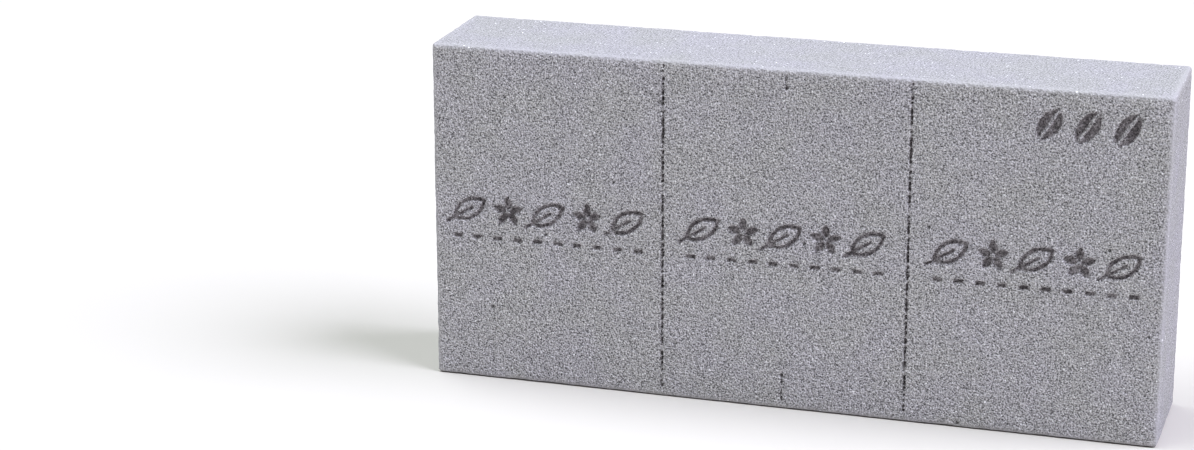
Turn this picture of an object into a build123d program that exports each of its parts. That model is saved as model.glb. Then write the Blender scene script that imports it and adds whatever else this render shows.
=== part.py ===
from build123d import *
import math
import os

# Dry floral foam brick, standing on one of its long narrow faces.
# The frame: +X along the length, +Z up, the scored and stamped broad face towards -Y.
# The origin is the middle of the face that it stands on.

# The whole brick
brick_length = 230.0
brick_depth = 40.0
brick_height = 109.0
edge_radius = 1.2

# Two score lines mark the thirds, and two short ticks mark the middle.
# The scoring bar pressed all of them a little to the left of their exact places.
left_score_shift = -1.5
right_score_shift = -0.9
score_width = 0.8
score_cut = 1.2
score_start = 3.0
score_stop = brick_height - 1.0
tick_top_length = 4.5
tick_top_stop = brick_height - 2.0
tick_bottom_start = 2.5
tick_bottom_length = 9.5

# The stamp on each third: a row of leaves and blossoms over a row of dashes
stamp_cut = 1.0
stamp_stroke = 1.2
stamp_centre = 56.0
motif_pitch = 13.0
leaf_length = 13.0
leaf_width = 6.8
leaf_tilt = 32.0
rib_width = 0.9
rib_reach = 1.5
stem_length = 2.4
petal_count = 5
petal_length = 4.4
petal_width = 2.5
petal_gap = 0.5
dash_count = 10
dash_length = 2.8
dash_pitch = 6.6
dash_drop = 9.0

# The bolder mark near the top right corner: three slanted leaves, split along the rib
corner_cut = 1.2
corner_height = 98.0
corner_inset = 25.0
corner_pitch = 11.5
corner_leaf_length = 12.0
corner_leaf_width = 6.4
corner_rib_width = 0.9
corner_slant = 58.0

front = -brick_depth / 2
left_end = -brick_length / 2
right_end = brick_length / 2
left_score = -brick_length / 6 + left_score_shift
right_score = brick_length / 6 + right_score_shift
tick_at = (left_score + right_score) / 2

os.makedirs("parts", exist_ok=True)


def lens_arc_radius(long, wide):
    """The radius of the two equal arcs of a pointed leaf with this length and width."""
    return (long**2 + wide**2) / (4 * wide)


def inner_lens_length(long, wide, stroke):
    """The length of the leaf that lies a stroke inside a leaf of this size."""
    radius = lens_arc_radius(long, wide)
    centre_offset = radius - wide / 2
    return 2 * math.sqrt((radius - stroke) ** 2 - centre_offset**2)


def lens_face(long, wide, mode=Mode.ADD):
    """Draw a pointed leaf along local X in the sketch that is being built."""
    with BuildLine() as outline:
        ThreePointArc((-long / 2, 0), (0, wide / 2), (long / 2, 0))
        ThreePointArc((long / 2, 0), (0, -wide / 2), (-long / 2, 0))
    make_face(outline.edges(), mode=mode)


def front_plane(x, z):
    """The plane of the scored face, facing out, with its local origin at x and z."""
    return Plane(origin=(x, front, z), x_dir=(1, 0, 0), z_dir=(0, -1, 0))


def cut_score(x, z_from, z_to):
    """Cut a V groove at x, between two heights, from the part that is being built."""
    with BuildSketch(Plane.XY.offset(z_from)) as groove:
        with BuildLine():
            Polyline(
                (x - score_width, front - score_cut),
                (x + score_width, front - score_cut),
                (x, front + score_cut),
                close=True,
            )
        make_face()
    extrude(groove.sketch, amount=z_to - z_from, mode=Mode.SUBTRACT)


def cut_stamp(x):
    """Press the leaves, blossoms and dashes, centred at x, into the part that is being built."""
    with BuildSketch(front_plane(x, stamp_centre)) as pressed:
        add(stamp.sketch)
    extrude(pressed.sketch, amount=-stamp_cut, mode=Mode.SUBTRACT)


# A leaf's outline, tilted, with a rib that runs from the end of its stem to a little past its middle
stem_end = -leaf_length / 2 - stem_length
with BuildSketch() as level_leaf:
    lens_face(leaf_length, leaf_width)
    lens_face(
        inner_lens_length(leaf_length, leaf_width, stamp_stroke),
        leaf_width - 2 * stamp_stroke,
        mode=Mode.SUBTRACT,
    )
    with Locations((stem_end, 0)):
        Rectangle(rib_reach - stem_end, rib_width, align=(Align.MIN, Align.CENTER))
with BuildSketch() as open_leaf:
    add(level_leaf.sketch, rotation=leaf_tilt)

# A blossom of solid petals round an open centre
with BuildSketch() as petal:
    lens_face(petal_length, petal_width)
with BuildSketch() as blossom:
    with PolarLocations(petal_gap + petal_length / 2, petal_count, start_angle=90):
        add(petal.sketch)

# The whole stamp
with BuildSketch() as stamp:
    with GridLocations(2 * motif_pitch, 1, 3, 1):
        add(open_leaf.sketch)
    with GridLocations(2 * motif_pitch, 1, 2, 1):
        add(blossom.sketch)
    with Locations((0, -dash_drop)):
        with GridLocations(dash_pitch, 1, dash_count, 1):
            Rectangle(dash_length, stamp_stroke)

# The corner mark
with BuildSketch() as split_leaf:
    lens_face(corner_leaf_length, corner_leaf_width)
    Rectangle(corner_leaf_length, corner_rib_width, mode=Mode.SUBTRACT)
with BuildSketch() as corner_mark:
    with GridLocations(corner_pitch, 1, 3, 1):
        add(split_leaf.sketch, rotation=corner_slant)

# Left third: rounded on every outer edge, square where it meets the middle
with BuildPart() as left_third:
    with BuildSketch(Plane.YZ.offset(left_end)):
        Rectangle(brick_depth, brick_height, align=(Align.CENTER, Align.MIN))
    extrude(amount=left_score - left_end)
    cut_face = left_third.faces().sort_by(Axis.X)[-1]
    fillet(left_third.edges() - cut_face.edges(), edge_radius)
    cut_score(left_score, score_start, score_stop)
    cut_stamp((left_end + left_score) / 2)
left_third.part.label = "left_third"
export_step(left_third.part, "parts/left_third.step")

# Middle third: square at both score lines, with the two ticks at its middle
with BuildPart() as middle_third:
    with BuildSketch(Plane.YZ.offset(left_score)):
        Rectangle(brick_depth, brick_height, align=(Align.CENTER, Align.MIN))
    extrude(amount=right_score - left_score)
    fillet(middle_third.edges().filter_by(Axis.X), edge_radius)
    cut_score(left_score, score_start, score_stop)
    cut_score(right_score, score_start, score_stop)
    cut_score(tick_at, tick_bottom_start, tick_bottom_start + tick_bottom_length)
    cut_score(tick_at, tick_top_stop - tick_top_length, tick_top_stop)
    cut_stamp((left_score + right_score) / 2)
middle_third.part.label = "middle_third"
export_step(middle_third.part, "parts/middle_third.step")

# Right third: rounded on every outer edge, with the corner mark
with BuildPart() as right_third:
    with BuildSketch(Plane.YZ.offset(right_score)):
        Rectangle(brick_depth, brick_height, align=(Align.CENTER, Align.MIN))
    extrude(amount=right_end - right_score)
    cut_face = right_third.faces().sort_by(Axis.X)[0]
    fillet(right_third.edges() - cut_face.edges(), edge_radius)
    cut_score(right_score, score_start, score_stop)
    cut_stamp((right_score + right_end) / 2)
    with BuildSketch(front_plane(right_end - corner_inset, corner_height)):
        add(corner_mark.sketch)
    extrude(amount=-corner_cut, mode=Mode.SUBTRACT)
right_third.part.label = "right_third"
export_step(right_third.part, "parts/right_third.step")
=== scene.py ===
import bpy
import math
import numpy as np
from mathutils import Matrix, Vector, geometry, noise


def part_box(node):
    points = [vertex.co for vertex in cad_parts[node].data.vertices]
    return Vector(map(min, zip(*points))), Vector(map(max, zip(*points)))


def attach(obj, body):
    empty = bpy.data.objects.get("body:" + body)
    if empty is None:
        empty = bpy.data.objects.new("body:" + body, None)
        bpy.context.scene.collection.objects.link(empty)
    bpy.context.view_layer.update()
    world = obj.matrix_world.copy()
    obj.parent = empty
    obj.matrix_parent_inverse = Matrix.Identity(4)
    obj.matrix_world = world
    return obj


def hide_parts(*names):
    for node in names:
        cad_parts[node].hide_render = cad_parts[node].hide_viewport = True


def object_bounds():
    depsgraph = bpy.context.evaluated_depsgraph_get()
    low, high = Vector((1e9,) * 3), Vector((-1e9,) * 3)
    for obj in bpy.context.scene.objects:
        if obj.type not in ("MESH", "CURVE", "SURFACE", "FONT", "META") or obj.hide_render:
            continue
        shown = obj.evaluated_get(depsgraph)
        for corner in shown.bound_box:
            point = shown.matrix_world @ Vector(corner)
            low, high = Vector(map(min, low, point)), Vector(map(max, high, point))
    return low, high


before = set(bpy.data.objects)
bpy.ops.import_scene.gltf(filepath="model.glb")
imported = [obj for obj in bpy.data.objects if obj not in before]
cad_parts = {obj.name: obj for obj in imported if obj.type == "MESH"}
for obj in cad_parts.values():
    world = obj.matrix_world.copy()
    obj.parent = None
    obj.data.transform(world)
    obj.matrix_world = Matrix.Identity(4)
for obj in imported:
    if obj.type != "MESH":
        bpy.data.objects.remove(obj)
cad_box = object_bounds()

# Lengths are in millimetres until a mesh is made, and MM turns them into metres.
MM = 0.001

# ---------------------------------------------------------------- the brick's own sizes

LOW, HIGH = (np.array(corner) / MM for corner in cad_box)
THIRDS = {
    node: (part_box(node)[0].x / MM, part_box(node)[1].x / MM)
    for node in ("left_third", "middle_third", "right_third")
}
SCORES = THIRDS["middle_third"]
SCORE_MIDDLE = sum(SCORES) / 2
EDGE_RADIUS = 1.2

# Score lines and ticks: half the groove's width, its depth, and where each runs in height
GROOVE_HALF = 0.36
GROOVE_DEPTH = 1.2
GROOVE_RUNOUT = 0.4
SCORE_SPAN = (3.0, 108.0)
TICK_SPANS = ((2.5, 12.0), (102.5, 107.0))

# How ragged they are: crumbs and longer stretches change the width and break the line, and its path wanders
GROOVE_CRUMB = 0.6
GROOVE_STRETCH = 8.0
GROOVE_WANDER_SIZE = 1.4
GROOVE_WANDER = 0.25

# The stamp: leaves, blossoms and dashes
STAMP_DEPTH = 1.0
STAMP_STROKE = 1.2
STAMP_HEIGHT = 56.0
MOTIF_PITCH = 13.0
LEAF = (13.0, 6.8)
LEAF_TILT = math.radians(32)
RIB_WIDTH = 0.9
RIB_REACH = 1.5
STEM = 2.4
PETALS = 5
PETAL = (4.4, 2.5)
PETAL_GAP = 0.5
DASHES = 10
DASH_LENGTH = 2.8
DASH_PITCH = 6.6
DASH_DROP = 9.0

# The corner mark: three slanted, split leaves
CORNER_AT = (HIGH[0] - 25.0, 98.0)
CORNER_PITCH = 11.5
CORNER_LEAF = (12.0, 6.4)
CORNER_RIB = 0.9
CORNER_SLANT = math.radians(58)

# The foam's own relief. A pitch is the usual distance between two of a kind, a size is how far one stretch of
# noise goes on, and a depth is how far in it takes the surface.
SKIN_DEPTH = 0.03
CELL_PITCH = 1.15
CELL_REACH = 0.7
CELL_DEPTH = 0.26
GRAIN_SIZE = 0.8
GRAIN_DEPTH = 0.04
WAVE_SIZE = 14.0
WAVE_DEPTH = 0.05
PINHOLE_PITCH = 6.5
PINHOLE_DEPTH = 0.6

# Wear along the edges: how far it reaches, its crumbs and slow dips, and a few chips
EDGE_REACH = 3.2
CRUMB_SIZE = 1.3
CRUMB_DEPTH = 0.06
DIP_SIZE = 6.0
DIP_DEPTH = 0.30
CHIP_PITCH = 9.0
CHIP_DEPTH = 0.5
CHIP_REACH = (0.3, 1.4)

# How ragged the stamps are: how far their outlines wander, the distances from an outline at which its wall
# starts and stops, and the level and unevenness of their floors
RAGGED_SIZE = 0.9
RAGGED_REACH = 0.3
STAMP_WALL = (-0.25, 0.2)
FLOOR_SIZE = 3.5
FLOOR_DEPTHS = (0.78, 0.3)

# Mesh spacing on each face, finest on the scored one, and the extra columns beside a groove's middle
COLUMN_STEP = 0.45
ROW_STEPS = {"front": 0.42, "top": 0.5, "back": 0.85, "bottom": 1.0}
GROOVE_COLUMNS = np.array([0.16, 0.34, 0.55])
GROOVE_CLEARANCE = 0.22

# Points on the long faces are nudged off their grid by up to this much.
NUDGE = 0.11

# Points on the ends: their spacing on foam and on a cut, how far inside the edges they lie, and the part of
# the spacing by which they are nudged
END_STEP = 0.68
END_MARGIN = 0.5
CUT_STEP = 3.0
CUT_MARGIN = 4.0
END_NUDGE = 0.3

# The gap between two faces on the flat texture map
MAP_GAP = 2.0

# ---------------------------------------------------------------- noise


def smooth(value, start, stop):
    """0 up to start, 1 from stop on, and a smooth ramp between."""
    t = np.clip((value - start) / (stop - start), 0, 1)
    return t * t * (3 - 2 * t)


def drift(points, size, salt=0.0):
    """Smooth noise from about -1 to 1 that changes over this size. Another salt gives unlike noise."""
    return np.array([noise.noise(Vector(p)) for p in points / size + salt])


def strewn(points, pitch, salt=0.0):
    """The distance to the nearest of many points strewn a pitch apart, and that point's own number, 0 to 1.
    Another salt strews them elsewhere."""
    gaps, owns = np.empty(len(points)), np.empty(len(points))
    for i, p in enumerate(points / pitch + salt):
        distances, centres = noise.voronoi(Vector(p))
        gaps[i] = distances[0] * pitch
        owns[i] = noise.cell(centres[0] * 97.0)
    return gaps, owns


# ---------------------------------------------------------------- marks, as distances inside a shape


def lens(u, v, long, wide):
    """The signed distance to a pointed leaf along u, negative inside."""
    radius = (long**2 + wide**2) / (4 * wide)
    offset = radius - wide / 2
    return np.maximum(np.hypot(u, v + offset), np.hypot(u, v - offset)) - radius


def bar(u, v, long, wide):
    """The signed distance to a bar along u, negative inside."""
    return np.maximum(np.abs(u) - long / 2, np.abs(v) - wide / 2)


def turned(u, v, angle):
    """The same points in axes turned by an angle."""
    return u * math.cos(angle) + v * math.sin(angle), v * math.cos(angle) - u * math.sin(angle)


def row_of(count, pitch):
    """Where a centred row of this many marks has its centres."""
    return [(i - (count - 1) / 2) * pitch for i in range(count)]


def open_leaf(u, v):
    """A tilted leaf's outline, with a rib that runs from the end of its stem to a little past its middle."""
    along, across = turned(u, v, LEAF_TILT)
    edge = lens(along, across, *LEAF)
    stem_end = -LEAF[0] / 2 - STEM
    rib = bar(along - (stem_end + RIB_REACH) / 2, across, RIB_REACH - stem_end, RIB_WIDTH)
    return np.minimum(np.maximum(edge, -edge - STAMP_STROKE), rib)


def blossom(u, v):
    """Solid petals round an open centre."""
    shapes = []
    for k in range(PETALS):
        along, across = turned(u, v, math.pi / 2 + 2 * math.pi * k / PETALS)
        shapes.append(lens(along - PETAL_GAP - PETAL[0] / 2, across, *PETAL))
    return np.minimum.reduce(shapes)


def stamp(u, v):
    """One third's stamp, centred on its row of leaves and blossoms."""
    shapes = [open_leaf(u - at, v) for at in row_of(3, 2 * MOTIF_PITCH)]
    shapes += [blossom(u - at, v) for at in row_of(2, 2 * MOTIF_PITCH)]
    shapes += [bar(u - at, v + DASH_DROP, DASH_LENGTH, STAMP_STROKE) for at in row_of(DASHES, DASH_PITCH)]
    return np.minimum.reduce(shapes)


def corner_mark(u, v):
    """Three slanted leaves, each split along its rib."""
    shapes = []
    for at in row_of(3, CORNER_PITCH):
        along, across = turned(u - at, v, CORNER_SLANT)
        shapes.append(np.maximum(lens(along, across, *CORNER_LEAF), CORNER_RIB / 2 - np.abs(across)))
    return np.minimum.reduce(shapes)


def marks(x, z):
    """The signed distance to the nearest stamped shape on the scored face."""
    shapes = [stamp(x - (left + right) / 2, z - STAMP_HEIGHT) for left, right in THIRDS.values()]
    shapes.append(corner_mark(x - CORNER_AT[0], z - CORNER_AT[1]))
    return np.minimum.reduce(shapes)


# ---------------------------------------------------------------- the foam's surface


def rounded(points):
    """Points on the sharp box moved to the box with rounded edges, and the outward normal at each."""
    core = np.clip(points, LOW + EDGE_RADIUS, HIGH - EDGE_RADIUS)
    out = points - core
    length = np.linalg.norm(out, axis=1, keepdims=True)
    normals = np.divide(out, length, out=np.zeros_like(out), where=length > 1e-9)
    return core + normals * EDGE_RADIUS, normals


def edge_nearness(points):
    """1 on the box's edges, falling to 0 a few millimetres inside each face."""
    to_faces = np.sort(np.minimum(points - LOW, HIGH - points), axis=1)
    return 1 - smooth(to_faces[:, 1], 0.0, EDGE_REACH)


def groove_depth(points):
    """The depth of the score lines and ticks, ragged and broken where crumbs fell in or the foam held."""
    x, z = points[:, 0], points[:, 2]
    heights = points * (0, 0, 1)
    crumbs = drift(heights, GROOVE_CRUMB, salt=31.7)
    stretches = drift(heights, GROOVE_STRETCH, salt=12.3)
    wander = drift(heights, GROOVE_WANDER_SIZE, salt=5.1) * GROOVE_WANDER
    half = GROOVE_HALF * (1.3 + 0.7 * crumbs)
    runs = [(at, SCORE_SPAN) for at in SCORES] + [(SCORE_MIDDLE, span) for span in TICK_SPANS]
    depth = np.zeros(len(points))
    for at, (start, stop) in runs:
        across = np.abs(x - at - wander)
        begun = smooth(z, start - GROOVE_RUNOUT, start + GROOVE_RUNOUT)
        ended = smooth(z, stop - GROOVE_RUNOUT, stop + GROOVE_RUNOUT)
        depth = np.maximum(depth, (1 - smooth(across, 0.3 * half, half)) * (begun * (1 - ended)))
    unbroken = smooth(crumbs + 0.4 * stretches, -0.20, 0.20)
    return depth * GROOVE_DEPTH * (0.12 + 0.88 * unbroken)


def stamped_part(places, scored):
    """How far the stamps press each point in, from 0 to about 1, with ragged outlines and uneven floors."""
    ragged = RAGGED_REACH * drift(places, RAGGED_SIZE, salt=1.7)
    level, unevenness = FLOOR_DEPTHS
    floor = level + unevenness * drift(places, FLOOR_SIZE, salt=4.9)
    floor += unevenness * drift(places, RAGGED_SIZE, salt=7.3)
    return scored * (1 - smooth(marks(places[:, 0], places[:, 2]) + ragged, *STAMP_WALL)) * floor


def pinholes(places):
    """1 at the middle of a pinhole and 0 outside it. They differ in size, and some points have none."""
    gap, own = strewn(places, PINHOLE_PITCH, salt=2.2)
    size = np.where(own > 0.3, 0.35 + 0.45 * own**2, 0.0)
    return 1 - smooth(gap, size * 0.45, size + 1e-6)


def wear(places, nearness):
    """The depth worn off near the edges: crumbs, slow dips and a few chips."""
    crumbs = CRUMB_DEPTH * np.abs(drift(places, CRUMB_SIZE, salt=6.1))
    dips = DIP_DEPTH * np.abs(drift(places, DIP_SIZE, salt=2.9))
    gap, own = strewn(places, CHIP_PITCH, salt=9.4)
    chips = CHIP_DEPTH * np.where(own > 0.8, 1 - smooth(gap, *CHIP_REACH), 0.0)
    return nearness * (0.02 + crumbs + dips + chips)


def foam(points):
    """Points on the sharp box as points on the foam, with four numbers each for the material: how far it was
    pressed in by a stamp or knife, how deep it lies in a pinhole, how near an edge it is, and how strongly
    its cells' painted shade and grain show."""
    places, normals = rounded(points)
    scored = normals[:, 1] < -0.5
    nearness = edge_nearness(points)

    cell_gap, _ = strewn(places, CELL_PITCH)
    cells = CELL_DEPTH * (1 - smooth(cell_gap, 0.0, CELL_REACH)) * (1 - 0.6 * nearness)
    grain = GRAIN_DEPTH * drift(places, GRAIN_SIZE, salt=3.3)
    waves = WAVE_DEPTH * drift(places, WAVE_SIZE, salt=8.8)
    pore = pinholes(places)
    stamped = stamped_part(places, scored)
    groove = scored * groove_depth(places)

    relief = SKIN_DEPTH + cells + grain + waves + PINHOLE_DEPTH * pore + wear(places, nearness)
    depth = relief + STAMP_DEPTH * stamped + groove
    pressed = np.clip(np.maximum(stamped, 0.85 * groove / GROOVE_DEPTH), 0, 1)

    # Painted shade: the cells' painted shade and the grain are strongest on the broad faces, and calmer on
    # the
    #     narrow faces and near the edges, because light falls differently on each.
    broad = smooth(np.abs(normals[:, 1]), 0.3, 0.95)
    shade_and_grain_strength = (0.34 + 0.66 * broad) * (1 - 0.85 * nearness**2)
    facts = {"pressed": pressed, "pore": pore, "edge": nearness, "shade_and_grain_strength": shade_and_grain_strength}
    return places - normals * np.maximum(depth, 0)[:, None], facts


# ---------------------------------------------------------------- meshes


def spaced(start, stop, step):
    """Evenly spaced values from start up to, but not including, stop."""
    count = max(1, round(abs(stop - start) / step))
    return np.linspace(start, stop, count + 1)[:-1]


def ring():
    """The box's outline across its length, from the front's foot up and over the top: the y and z of each
    point, then for each step to the next, the face it lies on, and where it starts and stops along it."""
    (_, y0, z0), (_, y1, z1) = LOW, HIGH
    runs = (
        ("front", (y0, z0), (y0, z1)),
        ("top", (y0, z1), (y1, z1)),
        ("back", (y1, z1), (y1, z0)),
        ("bottom", (y1, z0), (y0, z0)),
    )
    points, steps = [], []
    for face, start, stop in runs:
        length = math.dist(start, stop)
        along = spaced(0, length, ROW_STEPS[face])
        part = along[:, None] / length
        points.append(np.array(start) * (1 - part) + np.array(stop) * part)
        steps += zip([face] * len(along), along, [*along[1:], length])
    return np.concatenate(points), steps


def charts(width):
    """Where each face of a third lies on its flat texture map, in millimetres, and the map's own size."""
    _, depth, height = HIGH - LOW
    across, up = depth + MAP_GAP, height + MAP_GAP
    places = {
        "front": (0, 0),
        "back": (width + MAP_GAP, 0),
        "left": (0, up),
        "right": (across, up),
        "top": (2 * across, up),
        "bottom": (2 * across, up + across),
    }
    size = (max(2 * across + width, 2 * width + MAP_GAP), 2 * up)
    return places, size


def columns(left, right):
    """Places along the length from one end of a third to the other, closer together at its grooves."""
    grooves = [at for at in (*SCORES, SCORE_MIDDLE) if left - 1e-6 <= at <= right + 1e-6]
    fine = np.concatenate([[at, *(at - GROOVE_COLUMNS), *(at + GROOVE_COLUMNS)] for at in grooves])
    plain = np.append(spaced(left, right, COLUMN_STEP), right)
    plain = plain[np.abs(plain[:, None] - fine[None, :]).min(1) > GROOVE_CLEARANCE]
    return np.unique(np.clip(np.concatenate([plain, fine, [left, right]]), left, right).round(6))


def end_points(step, margin, random):
    """Points strewn over an end of the box, as y and z, each a little off a grid, inside a margin."""
    y = spaced(LOW[1] + margin, HIGH[1] - margin + step, step)
    z = spaced(LOW[2] + margin, HIGH[2] - margin + step, step)
    grid = np.stack(np.meshgrid(y, z), axis=-1).reshape(-1, 2)
    return np.clip(
        grid + random.uniform(-END_NUDGE, END_NUDGE, grid.shape) * step,
        (LOW[1] + margin, LOW[2] + margin),
        (HIGH[1] - margin, HIGH[2] - margin),
    )


def end_faces(rim, inner):
    """Triangles, anticlockwise in y and z, that join a closed rim of points to the points inside it."""
    flat = [Vector(p) for p in np.concatenate([rim, inner])]
    edges = [(i, (i + 1) % len(rim)) for i in range(len(rim))]
    found = geometry.delaunay_2d_cdt(flat, edges, [], 1, 1e-6)
    source = [owners[0] for owners in found[3]]
    triangles = []
    for corners in found[2]:
        a, b, c = (flat[source[i]] for i in corners)
        anticlockwise = (b - a).cross(c - a) > 0
        order = corners if anticlockwise else corners[::-1]
        triangles.append([source[i] for i in order])
    return triangles


def wrapped_points(loop, along, random):
    """A grid of points round the four long faces, the ones inside a face nudged off their lines."""
    grid = np.empty((len(along), len(loop), 3))
    grid[:, :, 0] = along[:, None]
    grid[:, :, 1:] = loop[None, :, :]
    nudge = random.uniform(-NUDGE, NUDGE, grid.shape)
    nudge[[0, -1]] = 0
    inside = (grid > LOW + END_MARGIN) & (grid < HIGH - END_MARGIN)
    return (grid + nudge * inside).reshape(-1, 3)


def wrapped_faces(along, steps, flat_places):
    """That grid's faces, and where each corner of each face lies on the flat map."""
    rows = len(steps)
    faces, flat = [], []
    for i in range(len(along) - 1):
        for j, (face, start, stop) in enumerate(steps):
            k = (j + 1) % rows
            faces.append((i * rows + j, (i + 1) * rows + j, (i + 1) * rows + k, i * rows + k))
            u, v = flat_places[face]
            near, far = u + along[i] - along[0], u + along[i + 1] - along[0]
            flat += ((near, v + start), (far, v + start), (far, v + stop), (near, v + stop))
    return faces, flat


def third_mesh(name, left, right, seed):
    """One third of the brick as a closed mesh, its cells, pinholes, grooves and stamps in its surface."""
    random = np.random.default_rng(seed)
    (loop, steps), along = ring(), columns(left, right)
    rows = len(loop)
    flat_places, flat_size = charts(right - left)
    places, facts = foam(wrapped_points(loop, along, random))
    faces, flat = wrapped_faces(along, steps, flat_places)

    # The two ends: foam where the brick ends, and a flat cut at a score line
    cut_rims = []
    for side, at, first in (("left", left, 0), ("right", right, (len(along) - 1) * rows)):
        outer = min(abs(at - LOW[0]), abs(at - HIGH[0])) < 0.01
        step, margin = (END_STEP, END_MARGIN) if outer else (CUT_STEP, CUT_MARGIN)
        inner = end_points(step, margin, random)
        placed = np.column_stack([np.full(len(inner), at), inner])
        rim = loop if outer else places[first : first + rows, 1:]
        if outer:
            placed, inner_facts = foam(placed)
        else:
            inner_facts = {key: np.zeros(len(inner)) for key in facts}
            cut_rims.append(first)
        number = np.concatenate([first + np.arange(rows), len(places) + np.arange(len(inner))])
        places = np.concatenate([places, placed])
        facts = {key: np.concatenate([facts[key], inner_facts[key]]) for key in facts}
        on_map = np.concatenate([loop, inner]) - LOW[1:] + flat_places[side]
        for triangle in end_faces(rim, inner):
            order = triangle if side == "right" else triangle[::-1]
            faces.append(tuple(int(number[i]) for i in order))
            flat += (tuple(on_map[i]) for i in order)

    mesh = bpy.data.meshes.new(name)
    mesh.from_pydata((places * MM).tolist(), [], faces)
    flat_map = mesh.uv_layers.new(name="OFBake")
    flat_map.uv.foreach_set("vector", (np.array(flat) / flat_size).astype(np.float32).ravel())
    mesh.validate()
    mesh.shade_smooth()
    for key, values in facts.items():
        mesh.attributes.new(key, "FLOAT", "POINT").data.foreach_set("value", values.astype(np.float32))
    sharpen_rims(mesh, cut_rims, rows)
    return mesh


def sharpen_rims(mesh, firsts, rows):
    """Mark the rim of each cut end sharp, so that the foam's shading runs on into the next third. A rim is
    the points numbered on from its first, one for each row."""
    ends = np.empty(len(mesh.edges) * 2, np.int32)
    mesh.edges.foreach_get("vertices", ends)
    ends = ends.reshape(-1, 2)
    sharp = np.zeros(len(mesh.edges), bool)
    for first in firsts:
        sharp |= ((ends >= first) & (ends < first + rows)).all(1)
    mesh.attributes.new("sharp_edge", "BOOLEAN", "EDGE").data.foreach_set("value", sharp)


# ---------------------------------------------------------------- material


class Nodes:
    """Short calls that add shader nodes and link them."""

    def __init__(self, tree):
        self.tree = tree

    def add(self, kind, inputs=(), **settings):
        node = self.tree.nodes.new(kind)
        for key, value in settings.items():
            setattr(node, key, value)
        for key, value in dict(inputs).items():
            if isinstance(value, bpy.types.NodeSocket):
                self.tree.links.new(value, node.inputs[key])
            else:
                node.inputs[key].default_value = value
        return node

    def math(self, operation, a, b=0.0, c=0.0):
        return self.add("ShaderNodeMath", {0: a, 1: b, 2: c}, operation=operation).outputs[0]

    def product(self, value, *others):
        """All the values multiplied together."""
        for other in others:
            value = self.math("MULTIPLY", value, other)
        return value

    def between(self, value, start, stop, low=0.0, high=1.0):
        """value carried from start..stop to low..high, and held at the ends."""
        return self.add(
            "ShaderNodeMapRange",
            {"Value": value, "From Min": start, "From Max": stop, "To Min": low, "To Max": high},
        ).outputs["Result"]

    def blend(self, factor, a, b, mode="MIX"):
        """Two colours mixed by a factor."""
        inputs = {0: factor, 6: a, 7: b}
        return self.add("ShaderNodeMix", inputs, data_type="RGBA", blend_type=mode).outputs[2]


# The foam's colours, and how many of each feature its textures have in a metre
FOAM_GREY = (0.431, 0.422, 0.431, 1)
FOAM_LILAC = (0.425, 0.412, 0.440, 1)
FOAM_CRUSHED = (0.450, 0.405, 0.430, 1)
PAINTED_GLINT_WHITE = (0.95, 0.95, 0.97, 1)
CELLS_PER_METRE = 1300.0
GRAINS_PER_METRE = 1800.0
SPECKS_PER_METRE = 1150.0
PATCHES_PER_METRE = 60.0
BUMP_HEIGHT = 0.0005


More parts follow.
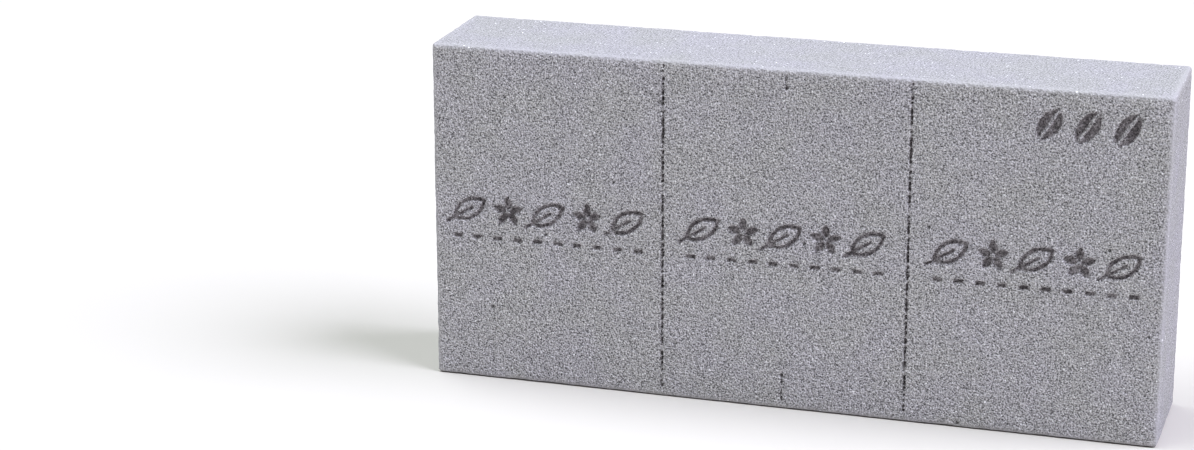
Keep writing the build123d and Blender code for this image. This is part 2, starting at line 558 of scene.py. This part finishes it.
def foam_material():
    """Rigid grey foam: open cells with painted shade at their bottoms, fine grain, faint mottling, crumbly
    edges with a painted highlight, painted glints, and dark crushed marks that are partly painted shade.
    """
    material = bpy.data.materials.new("dry_foam")
    material.use_nodes = True
    tree = material.node_tree
    n = Nodes(tree)
    shader = tree.nodes["Principled BSDF"]
    place = n.add("ShaderNodeTexCoord").outputs["Object"]

    def texture(kind, scale, **more):
        return n.add(kind, {"Vector": place, "Scale": scale, **more}).outputs

    cells = texture("ShaderNodeTexVoronoi", CELLS_PER_METRE, Randomness=0.85)["Distance"]
    grain = texture("ShaderNodeTexNoise", GRAINS_PER_METRE, Detail=1.0)["Fac"]
    mottle = texture("ShaderNodeTexNoise", PATCHES_PER_METRE, Detail=3.0)["Fac"]
    specks = texture("ShaderNodeTexVoronoi", SPECKS_PER_METRE)
    facts = {
        name: n.add("ShaderNodeAttribute", attribute_name=name).outputs["Fac"]
        for name in ("pressed", "pore", "edge", "shade_and_grain_strength")
    }

    # Painted shade darkens the cells' bottoms, and a painted highlight lightens their walls. The marks are
    # darker
    #     from painted shade in their recesses and from the crushed foam's own colour, pinholes are darkened
    #     with painted shade, and a painted highlight makes the edges paler.
    cell_painted_shade_and_highlight = n.between(cells, 0.10, 0.45, low=0.50, high=1.10)
    grain_tone = n.between(grain, 0.25, 0.75, low=0.28, high=1.72)
    relief = n.math("SUBTRACT", n.product(cell_painted_shade_and_highlight, grain_tone), 1.0)
    contrast = n.product(facts["shade_and_grain_strength"], n.between(facts["pressed"], 0.0, 1.0, low=1.0, high=0.80))
    shade = n.math("MULTIPLY_ADD", relief, contrast, 1.0)
    patches = n.between(mottle, 0.3, 0.7, low=0.97, high=1.03)
    # A painted highlight along the edges
    edge_painted_highlight = n.between(facts["edge"], 0.0, 1.0, low=1.0, high=1.04)
    # The marks' darkness: painted shade in their recesses, and partly the crushed foam's own colour
    mark_painted_shade_and_crush = n.between(facts["pressed"], 0.0, 1.0, low=1.0, high=0.26)
    # Painted shade inside the pinholes
    pinhole_painted_shade = n.between(facts["pore"], 0.0, 1.0, low=1.0, high=0.40)

    # Painted highlights: a few cell walls glint in the colour itself. Painted shade: a few cells are darker
    # than the
    #     rest, as deep holes.
    picks = n.add("ShaderNodeSeparateColor", {"Color": specks["Color"]}).outputs
    middle = n.between(specks["Distance"], 0.20, 0.45, low=1.0, high=0.0)
    uncrushed = n.math("SUBTRACT", 1.0, facts["pressed"])
    glint = n.product(n.between(picks["Red"], 0.96, 0.97), middle, uncrushed)
    shaded_speck = n.product(n.between(picks["Green"], 0.93, 0.95), middle, contrast)
    speck_painted_shade = n.between(shaded_speck, 0.0, 1.0, low=1.0, high=0.4)

    tone = n.product(shade, patches, edge_painted_highlight, speck_painted_shade, mark_painted_shade_and_crush, pinhole_painted_shade)
    tint = n.blend(n.between(mottle, 0.38, 0.62), FOAM_GREY, FOAM_LILAC)
    tint = n.blend(facts["pressed"], tint, FOAM_CRUSHED)
    colour = n.blend(1.0, tint, tone, "MULTIPLY")
    colour = n.blend(n.product(glint, 0.85), colour, PAINTED_GLINT_WHITE)

    matte = n.between(grain, 0.3, 0.7, low=0.98, high=0.86)
    roughness = n.math("SUBTRACT", matte, n.product(glint, 0.5))

    height = n.math("ADD", cells, n.product(grain, 0.5))
    sharpness = n.between(facts["edge"], 0.0, 1.0, low=1.0, high=0.5)
    bump = n.add("ShaderNodeBump", {"Strength": sharpness, "Distance": BUMP_HEIGHT, "Height": height})
    tree.links.new(colour, shader.inputs["Base Color"])
    tree.links.new(roughness, shader.inputs["Roughness"])
    tree.links.new(bump.outputs["Normal"], shader.inputs["Normal"])
    shader.inputs["Specular IOR Level"].default_value = 0.3
    return material


def floor_material():
    """Plain pale matte paper."""
    material = bpy.data.materials.new("pale_floor")
    material.use_nodes = True
    shader = material.node_tree.nodes["Principled BSDF"]
    shader.inputs["Base Color"].default_value = (0.640, 0.612, 0.573, 1)
    shader.inputs["Roughness"].default_value = 0.9
    shader.inputs["Specular IOR Level"].default_value = 0.1
    return material


# ---------------------------------------------------------------- the brick

dry_foam = foam_material()
for seed, (node, (left, right)) in enumerate(THIRDS.items()):
    piece = bpy.data.objects.new(f"foam_{node}", third_mesh(f"foam_{node}", left, right, seed))
    bpy.context.scene.collection.objects.link(piece)
    piece.data.materials.append(dry_foam)
    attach(piece, "root")
    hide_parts(node)

# ---------------------------------------------------------------- floor, light and camera

# Half the floor's side, in metres
FLOOR_HALF = 40.0

floor_mesh = bpy.data.meshes.new("floor")
corners = [(-1, -1), (1, -1), (1, 1), (-1, 1)]
floor_mesh.from_pydata([(x * FLOOR_HALF, y * FLOOR_HALF, 0) for x, y in corners], [], [(0, 1, 2, 3)])
floor_mesh.materials.append(floor_material())
floor = bpy.data.objects.new("floor", floor_mesh)
bpy.context.scene.collection.objects.link(floor)


def sun(name, towards, strength, colour, angle):
    """A distant soft light. towards points from the object to the light."""
    data = bpy.data.lights.new(name, "SUN")
    data.energy, data.color, data.angle = strength, colour, math.radians(angle)
    light = bpy.data.objects.new(name, data)
    light.rotation_mode = "QUATERNION"
    light.rotation_quaternion = Vector(towards).to_track_quat("Z", "Y")
    bpy.context.scene.collection.objects.link(light)


sun("overhead_right", (0.64, -0.05, 0.76), 3.1, (0.97, 0.975, 1.15), 40)
sun("overhead_left", (-0.35, -0.05, 0.93), 2.35, (0.96, 1.04, 1.06), 50)

SKY = (0.214, 0.218, 0.224, 1)
BACKDROP = (1.0, 1.0, 1.0, 1)

world = bpy.data.worlds.new("studio")
world.use_nodes = True
bpy.context.scene.world = world
world_nodes = Nodes(world.node_tree)
seen = world_nodes.add("ShaderNodeLightPath").outputs["Is Camera Ray"]
world_colour = world_nodes.blend(seen, SKY, BACKDROP)
world.node_tree.links.new(world_colour, world.node_tree.nodes["Background"].inputs["Color"])

view = bpy.context.scene.view_settings
view.view_transform = "Standard"
view.look = "None"

# Grain this fine is smeared by the usual denoiser and pixel filter.
cycles = bpy.context.scene.cycles
cycles.denoising_prefilter = "NONE"
cycles.filter_width = 1.2

CAMERA_AT = Vector((0.2074, -0.8734, 0.3349))
CAMERA_AIM = Vector((-0.0610, -0.0200, 0.0545))
CAMERA_ROLL = math.radians(-0.17)
camera_data = bpy.data.cameras.new("camera")
camera_data.lens = 90.7
camera_data.sensor_width = 36.0
camera = bpy.data.objects.new("camera", camera_data)
aim = (CAMERA_AIM - CAMERA_AT).to_track_quat("-Z", "Y").to_matrix()
camera.matrix_world = Matrix.Translation(CAMERA_AT) @ (aim @ Matrix.Rotation(CAMERA_ROLL, 3, "Z")).to_4x4()
bpy.context.scene.collection.objects.link(camera)
bpy.context.scene.camera = camera

# ---------------------------------------------------------------- bring the scene up to date

bpy.context.view_layer.update()
